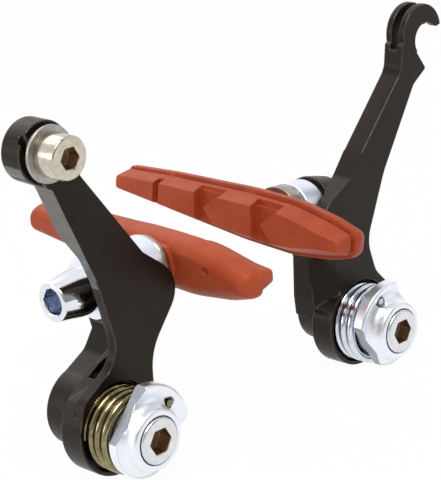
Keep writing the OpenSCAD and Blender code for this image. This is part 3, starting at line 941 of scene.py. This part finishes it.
@dataclass
class PadHardware(Group):
    """The stud of the pad with its washers."""

    dressings: ClassVar = (
        Dressing("pad_post", Finish.POST, 0.12),
        Dressing("inner_cup", Finish.CUP, 0.3),
        Dressing("inner_dome", Finish.DOME, 0.2),
        Dressing("outer_cup", Finish.CUP, 0.3),
        Dressing("outer_dome", Finish.DOME, 0.2),
        Dressing("pad_spacer", Finish.SPACER, 0.2),
    )


@dataclass
class ConeNut(Group):
    """The long nut that pulls the pad's post outward through the arm."""

    # Its socket gets painted shade.
    dressings: ClassVar = (Dressing("cone_nut", Finish.NUT, 0.25, inside=Finish.NUT_SOCKET),)

    def socket_frame(self, bm: WorkMesh) -> Matrix:
        """The nut's frame: z outward along the post."""
        return SEATS[self.side].ball() @ turn(y=90)


@dataclass
class CableAnchor(Group):
    """The bolt and washer that hold the cable on the left arm."""

    dressings: ClassVar = (
        # Its socket gets painted shade.
        Dressing("cable_bolt", Finish.ANCHOR_BOLT, 0.2, inside=Finish.SOCKET),
        Dressing("cable_washer", Finish.ANCHOR_WASHER, 0.15),
    )

    def node_of(self, dressing: Dressing) -> str:
        """The anchor is on one side only, so its names have no side."""
        return dressing.stem


@dataclass
class Spring:
    """The wire spring round the sleeve, its ends bent into the arm and the adjuster.

    Attributes:
        side: The side it belongs to.
        coil_r: Radius of the coil, to the wire's middle.
        wire_r: Radius of the wire.
        low: Height of the coil's rear end above the mounting plane.
        high: Height of its front end.
        sweep: The whole turn of the coil.
        step: The turn from one ring of the wire to the next.
        bend: Distance from a corner at which its bend starts.
        rear_foot: Height of the end that sits in the arm.
        front_foot: Height of the end that sits in the adjuster.
        sides: The number of faces round the wire.
        tip: What is left of the wire's radius at its two ends.
        slack: Distance from the coil at which it stops winding up.
    """

    side: Side
    coil_r: float = 8.1
    wire_r: float = 0.9
    low: float = 11.0
    high: float = 17.95
    sweep: float = 1224.0
    step: float = 4.0
    bend: float = 1.7
    rear_foot: float = 7.1
    front_foot: float = 21.45
    sides: int = 18
    tip: float = 0.8
    slack: float = 1.0

    def coil(self, angle: float) -> Vector:
        """The wire's middle at an angle along the coil, in degrees."""
        height = self.low + (self.high - self.low) * angle / self.sweep
        return turn(z=angle - self.sweep) @ Vector((self.coil_r, 0, height))

    def bent(self, leg: Vector, corner: Vector, along: Vector, steps: int = 7) -> list[Vector]:
        """The smooth bend from a straight leg round a corner to the coil, without its ends."""
        parts = (i / steps for i in range(1, steps))
        return [leg * (1 - t) ** 2 + corner * 2 * t * (1 - t) + along * t * t for t in parts]

    def path(self) -> list[Vector]:
        """Draws the wire's middle line.

        Returns:
            Its points, from the rear foot to the front foot.
        """
        start, end = self.coil(0), self.coil(self.sweep)
        rise = Vector((0, 0, self.bend))
        lead = math.degrees(self.bend / self.coil_r)
        whole = self.sweep - 2 * lead
        count = round(whole / self.step)
        turns = [self.coil(lead + whole * i / count) for i in range(count + 1)]
        rear = Vector((start.x, start.y, self.rear_foot))
        front = Vector((end.x, end.y, self.front_foot))
        low_bend = self.bent(start - rise, start, turns[0])
        high_bend = self.bent(turns[-1], end, end + rise)
        return [rear, start - rise, *low_bend, *turns, *high_bend, end + rise, front]

    def build(self) -> list[Piece]:
        """Sweeps the wire.

        Returns:
            The one piece, in a list.
        """
        place = SEATS[self.side].stud() @ turn(z=SEATS[self.side].spring_turn)
        path = self.path()
        bm = bmesh.new()
        loft(bm, [self.ring(bm, path, i, place) for i in range(len(path))])
        finish = Finish.GOLD_SPRING if self.side is Side.LEFT else Finish.SILVER_SPRING
        node = f"{self.side.word}_spring"
        obj = shown(bm, f"{node}_dressed", finish, None)
        soften(obj, 0)
        self.wind(obj)
        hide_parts(node)
        return [obj]

    def wind(self, obj: Piece) -> None:
        """Lets the coil wind up between the arm, which holds its rear foot, and the adjuster.

        Args:
            obj: The spring.
        """
        heights = (self.low - self.slack, self.high + self.slack)
        start, end = ((self.side.stud_x, -height * MM, 0) for height in heights)
        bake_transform(obj, self.side.body, Holder.STUD.body(self.side), start=start, end=end)

    def ring(self, bm: WorkMesh, path: list[Vector], i: int, place: Matrix) -> list[Vert]:
        """One ring of the wire.

        Args:
            bm: The mesh it is added to.
            path: The wire's middle line.
            i: The ring's number.
            place: The matrix from the path's frame.

        Returns:
            The ring's points.
        """
        last = len(path) - 1
        along = (path[min(i + 1, last)] - path[max(i - 1, 0)]).normalized()
        out = Vector((path[i].x, path[i].y, 0)).normalized()
        u = (out - along * out.dot(along)).normalized()
        v = along.cross(u)
        radius = self.wire_r * (self.tip if i in (0, last) else 1.0)
        spots = circle(radius, self.sides)
        return [bm.verts.new(place @ (path[i] + x * u + y * v)) for x, y in spots]


@dataclass(frozen=True)
class Shoulder:
    """One corner of the pad's upper edge.

    Attributes:
        x: Its place, forward of the post.
        share: Its height above the pad's middle, as a share of the pad's height.
        down: How far an across margin of one draws it in.
        radius: Radius of its rounding.
        back: How far an along margin of one draws it back.
        least_r: The least radius that its rounding is drawn in to.
    """

    x: float
    share: float
    down: float
    radius: float
    back: float = 0.0
    least_r: float = 0.8

    def corner(self, height: float, along: float, across: float) -> Corner:
        """The corner over a pad's middle line, drawn in by the two margins."""
        radius = max(self.least_r, self.radius - max(0.0, self.back) * along)
        return (self.x - self.back * along, height * self.share - self.down * across, radius)


@dataclass
class Pad:
    """The rubber pad: a lofted body with a flange, a groove beside it and notches in its face.

    Attributes:
        side: The side it belongs to.
        front: Distance of its front end ahead of its post.
        length: Its whole length.
        height: Its whole height.
        rise: Height of its middle above its post.
        edge: Width of its rounded edges.
        edge_angle: The least angle of an edge that is rounded.
        weld: Points that lie nearer together than this are one point.
        boss_r: Radius of the round boss on its back.
        boss_edge: Distance of the boss's flat top and bottom from the pad's own edges.
        boss_profile: Height and inset of the boss's rings, from inside the body to its face.
        boss_sides: The number of points round the boss.
        face: Height of its friction face.
        over: How far the cutters stand above its face.
        reach: How far they reach up and down from its middle.
        notches: Distance of each notch's rear wall behind its front end.
        notch_floor: Height of the notches' floor.
        notch_gap: Width of a notch at its point.
        notch_top: Height above its middle to which a notch goes, as a share of its height.
        notch_upper: How far the point's upper side runs forward.
        notch_lower: How far its lower side runs forward.
        lean: How far the rear wall leans back for each millimetre up.
        pocket_floor: Height of the floor of the pocket over each notch.
        pocket_back: Distance of the pocket's upper rear corner behind the notch.
        slot: Distance of the rear slot's two walls behind its front end.
        slot_flare: How far the rear wall leans back and the other one forward.
        dimple: Place of the dimple in its back.
        dimple_profile: Height and radius of the dimple's rings.
        dimple_sides: The number of points round the dimple.
        levels: Height, along margin and across margin of each outline, from back to face.
    """

    side: Side
    front: float = 27.8
    length: float = 68.4
    height: float = 12.0
    rise: float = 0.5
    edge: float = 0.1
    edge_angle: float = 50
    weld: float = 0.002
    boss_r: float = 7.0
    boss_edge: float = 1.6
    boss_profile: tuple[Point, ...] = ((1.5, 0.0), (-0.45, 0.0), (-0.7, 0.12), (-0.8, 0.4))
    boss_sides: int = 96
    face: float = 9.6
    over: float = 1.0
    reach: float = 9.0
    notches: Point = (26.0, 43.1)
    notch_floor: float = 7.3
    notch_gap: float = 2.7
    notch_top: float = 0.28
    notch_upper: float = 4.2
    notch_lower: float = 3.3
    lean: float = 0.14
    pocket_floor: float = 6.5
    pocket_back: float = 1.2
    slot: Point = (56.1, 54.6)
    slot_flare: Point = (0.3, 0.4)
    dimple: Point = (15.8, 1.8)
    dimple_profile: tuple[Point, ...] = ((-1.0, 1.0), (0.12, 1.0), (0.5, 0.85), (0.8, 0.5))
    dimple_sides: int = 24
    levels: ClassVar[tuple[Corner, ...]] = (
        # The rounded back, up to the widest part of the flange.
        (0.0, 3.1, 3.1), (0.1, 2.6, 2.6), (0.42, 1.85, 1.85), (0.85, 1.25, 1.25),
        (1.4, 0.75, 0.75), (2.2, 0.33, 0.33), (3.1, 0.06, 0.06), (3.5, 0.0, 0.0),
        # The flange's straight edge and its front corner.
        (4.62, 0.0, 0.0), (4.8, 0.07, 0.07), (4.9, 0.25, 0.25),
        # The groove in front of the flange.
        (4.9, 1.3, 1.3), (4.98, 1.45, 1.45), (5.36, 1.45, 1.45),
        # The friction block with its chamfer.
        (5.44, 0.9, 1.0), (5.62, 0.84, 0.96), (7.4, 1.0, 1.66), (8.7, 1.2, 2.2),
        (9.2, 1.45, 2.42), (9.48, 1.75, 2.56), (9.6, 2.2, 2.7),
    )

    def shoulders(self) -> list[Shoulder]:
        """Sets the corners of the pad's upper edge.

        Returns:
            The corners, from its rear end to its tip.
        """
        return [
            Shoulder(self.front - self.length, 0.255, 0.6, 0.8, back=-0.1),
            Shoulder(-27, 0.37, 0.8, 60),
            Shoulder(-3, 0.5, 1.0, 60),
            Shoulder(11, 0.51, 1.0, 30),
            Shoulder(self.front - 6.5, 0.39, 1.2, 8),
            Shoulder(self.front, 0.22, 0.55, 2.2, back=1.0),
        ]

    def outline(self, along: float, across: float) -> list[Point]:
        """The pad's side outline, drawn in by two margins.

        Args:
            along: The margin at its ends.
            across: The margin at its upper and lower edges.

        Returns:
            The points, x forward and y up.
        """
        above = [shoulder.corner(self.height, along, across) for shoulder in self.shoulders()]
        below = [(x, -y, radius) for x, y, radius in reversed(above)]
        return [(x, y + self.rise) for x, y in rounded(above + below)]

    def build(self) -> list[Piece]:
        """Lofts the pad, adds its boss and cuts its notches.

        Returns:
            The one piece, in a list.
        """
        body = stacked((z, self.outline(along, across)) for z, along, across in self.levels)
        node = f"{self.side.word}_pad"
        obj = shown(body, f"{node}_dressed", Finish.RUBBER, self.side.body)
        self.combine(obj, self.boss(), "UNION")
        for cutter in self.cutters():
            self.combine(obj, cutter, "DIFFERENCE")
        self.place(obj)
        soften(obj, self.edge)
        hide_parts(node)
        return [obj]

    def boss(self) -> WorkMesh:
        """Makes the low round boss on the pad's back, cut off level with the body's edges.

        Returns:
            The boss.
        """
        layers = []
        for z, inset in self.boss_profile:
            half = self.height * 0.5 - self.boss_edge - inset
            low, high = self.rise - half, self.rise + half
            spots = circle(self.boss_r - inset, self.boss_sides)
            layers.append((z, [(x, max(low, min(high, y))) for x, y in spots]))
        return stacked(layers)

    def cutters(self) -> list[WorkMesh]:
        """Makes the shapes that are cut out of the pad.

        Returns:
            The notches with their pockets, the rear slot and the dimple.
        """
        ends = (self.notch_floor, self.face + self.over)
        cuts = [cut for behind in self.notches for cut in self.notch(self.front - behind)]
        cuts.append(prism(self.rear_slot(), *ends))
        x, y = self.dimple
        rings = ((z, circle(radius, self.dimple_sides)) for z, radius in self.dimple_profile)
        cuts.append(stacked((z, [(x + dx, y + dy) for dx, dy in ring]) for z, ring in rings))
        return cuts

    def notch(self, at: float) -> list[WorkMesh]:
        """Makes the two cutters of one notch.

        Args:
            at: Place of its rear wall at the pad's middle.

        Returns:
            The notch with its pointed front side, and the pocket over it.
        """
        high = self.height * self.notch_top
        level, top, bottom = self.rise, self.rise + high, self.rise - high
        point = at + self.notch_gap
        upper, lower = point + self.notch_upper, point + self.notch_lower
        rear_top = (at - high * self.lean, top)
        outline = [
            (at + self.reach * self.lean, level - self.reach),
            rear_top,
            (upper, top),
            (point, level),
            (lower, bottom),
            (lower, level - self.reach),
        ]
        pocket = [rear_top, (upper, top), (upper, self.reach), (at - self.pocket_back, self.reach)]
        over = self.face + self.over
        return [prism(outline, self.notch_floor, over), prism(pocket, self.pocket_floor, over)]

    def rear_slot(self) -> list[Point]:
        """Draws the slot across the pad's rear end.

        Returns:
            Its outline.
        """
        rear, ahead = (self.front - behind for behind in self.slot)
        back, forth = self.slot_flare
        low = [(rear, -self.reach), (ahead + forth, -self.reach)]
        return [*low, (ahead, self.reach), (rear - back, self.reach)]

    def combine(self, obj: Piece, tool: WorkMesh, operation: str) -> None:
        """Adds or cuts one shape.

        Args:
            obj: The pad.
            tool: The shape, which is freed.
            operation: UNION or DIFFERENCE.
        """
        other = new_object("tool", new_mesh("tool", tool))
        cut = obj.modifiers.new("cut", "BOOLEAN")
        cut.operation = operation
        cut.solver = "EXACT"
        cut.object = other
        settle(obj)
        bpy.data.objects.remove(other)

    def place(self, obj: Piece) -> None:
        """Puts the pad on its arm and marks its cut edges.

        Args:
            obj: The pad.
        """
        bm = bmesh.new()
        bm.from_mesh(obj.data)
        bmesh.ops.remove_doubles(bm, verts=bm.verts, dist=self.weld)
        bmesh.ops.transform(bm, matrix=SEATS[self.side].pad(), verts=bm.verts)
        bmesh.ops.recalc_face_normals(bm, faces=bm.faces)
        weigh_edges(bm, self.edge, self.edge_angle)
        bm.to_mesh(obj.data)
        bm.free()


@dataclass(frozen=True)
class Lamp:
    """A square soft light.

    Attributes:
        name: Its name.
        place: Where it hangs, in metres.
        size: The length of its sides, in metres.
        power: Its power, in watts.
        target: The point that it faces, in metres.
    """

    name: str
    place: Triple
    size: float
    power: float
    target: Triple = (0, 0, 0.03)

    def hang(self) -> None:
        """Puts the lamp in the scene."""
        light = bpy.data.lights.new(self.name, "AREA")
        light.size = self.size
        light.energy = self.power
        obj = new_object(self.name, light)
        obj.location = self.place
        aim = Vector(self.target) - Vector(self.place)
        obj.rotation_euler = aim.to_track_quat("-Z", "Y").to_euler()


@dataclass
class Studio:
    """Floor, light and camera.

    Attributes:
        floor_z: Height of the floor, in metres.
        floor_half: Half the floor's width, in metres.
        floor_shade: Brightness of its surface.
        floor_glow: How much of what is seen of it is its own even light.
        dim: Brightness of the room in the light that falls on the brake.
        depth: Where, from front to back, reflections of the room go from dim to bright.
        depth_up: How much a way up counts as a way back.
        azimuth: Direction of the camera about Z, from the front.
        elevation: Height of the camera above the level.
        roll: Turn of the camera about its own axis.
        focal_px: Focal length, in pixels of the picture.
        image_h: Height of the picture, in pixels.
        eye: Place of the camera, in metres.
        sensor: Width of the camera's sensor.
        near: The nearest distance that it sees, in metres.
        lamps: The lights that hang round the brake.
    """

    floor_z: float
    floor_half: float = 30
    floor_shade: float = 0.9
    floor_glow: float = 0.97
    dim: float = 0.3
    depth: Point = (-0.55, 0.35)
    depth_up: float = 0.35
    azimuth: float = -44.75
    elevation: float = 18.03
    roll: float = 3.17
    focal_px: float = 1950.47
    image_h: int = 480
    eye: Triple = (-0.27962, -0.28849, 0.15781)
    sensor: float = 36
    near: float = 0.01
    lamps: ClassVar[tuple[Lamp, ...]] = (
        Lamp("key", (-0.4, -0.33, 1.05), 0.6, 9.0),
        Lamp("fill", (0.75, -0.7, 0.45), 0.6, 0.9),
        Lamp("back", (0.1, 0.9, 0.7), 0.8, 2.4),
        Lamp("rim", (-0.85, 0.6, 0.22), 0.3, 1.0),
    )

    def build(self) -> None:
        """Makes the whole studio."""
        self.make_floor()
        self.make_world()
        for lamp in self.lamps:
            lamp.hang()
        self.make_camera()

    def make_floor(self) -> None:
        """Makes a wide pale floor that stays white beside the brake's faint shadow."""
        bm = bmesh.new()
        bmesh.ops.create_grid(bm, x_segments=1, y_segments=1, size=self.floor_half)
        floor = new_object("floor", new_mesh("floor", bm))
        floor.location.z = self.floor_z
        material = bpy.data.materials.new("pale floor")
        n = Nodes(material)
        n.set(Base_Color=(*[self.floor_shade] * 3, 1), Roughness=1.0, Specular_IOR_Level=0.0)
        glow = n.add("Emission", {"Color": (1, 1, 1, 1), "Strength": 1.0}).outputs[0]
        share = n.product(n.seen(), self.floor_glow)
        mix = n.add("MixShader", {0: share, 1: n.shader.outputs[0], 2: glow}).outputs[0]
        n.feed(n.tree.nodes["Material Output"].inputs["Surface"], mix)
        floor.data.materials.append(material)
        floor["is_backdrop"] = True

    def make_world(self) -> None:
        """Makes a white room, whose reflections grow dimmer toward the front."""
        world = bpy.data.worlds.new("room")
        bpy.context.scene.world = world
        n = Nodes(world)
        path = n.add("LightPath").outputs
        toward = n.add("SeparateXYZ", {0: n.add("TexCoord").outputs["Generated"]}).outputs
        depth = n.sum(toward["Y"], n.product(toward["Z"], self.depth_up))
        reflected = n.between(depth, self.dim, 1.0, *self.depth)
        room = n.sum(n.product(path["Is Glossy Ray"], n.sum(reflected, -self.dim)), self.dim)
        clear = n.sum(path["Is Camera Ray"], path["Is Transmission Ray"], clamp=True)
        background = n.tree.nodes["Background"].inputs
        n.feed(background["Color"], (1, 1, 1, 1))
        n.feed(background["Strength"], n.sum(room, n.product(clear, 1 - self.dim)))

    def make_camera(self) -> None:
        """Sets the camera at the photograph's own view."""
        az, el, roll = (math.radians(v) for v in (self.azimuth, self.elevation, self.roll))
        level = math.cos(el)
        back = Vector((math.sin(az) * level, -math.cos(az) * level, math.sin(el)))
        right = Vector((math.cos(az), math.sin(az), 0))
        up = back.cross(right)
        c, s = math.cos(roll), math.sin(roll)
        axes = Matrix((right * c - up * s, right * s + up * c, back)).transposed()
        lens = bpy.data.cameras.new("camera")
        lens.sensor_width = self.sensor
        lens.lens = self.focal_px * self.sensor / self.image_h
        lens.clip_start = self.near
        camera = new_object("camera", lens)
        camera.matrix_world = Matrix.Translation(self.eye) @ axes.to_4x4()
        bpy.context.scene.camera = camera


def plain(box: Iterable[Iterable[float]]) -> list[list[float]]:
    """A box as plain lists of numbers."""
    return [[float(v) for v in corner] for corner in box]


def main() -> None:
    """Builds every sub-assembly and reports its pieces, then builds the studio."""
    logging.basicConfig(level=logging.INFO, format="%(message)s")
    before = plain(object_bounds())
    kinds = (Arm, Pivot, Spring, PadHardware, ConeNut, Pad)
    assemblies = [kind(side) for side in Side for kind in kinds]
    for assembly in (*assemblies, CableAnchor(Side.LEFT)):
        for piece in assembly.build():
            LOG.info("%s: %d faces", piece.name, len(piece.data.polygons))
    Studio(floor_z=before[0][2]).build()
    bpy.context.scene.view_settings.view_transform = "Standard"


if __name__ == "__main__":
    main()
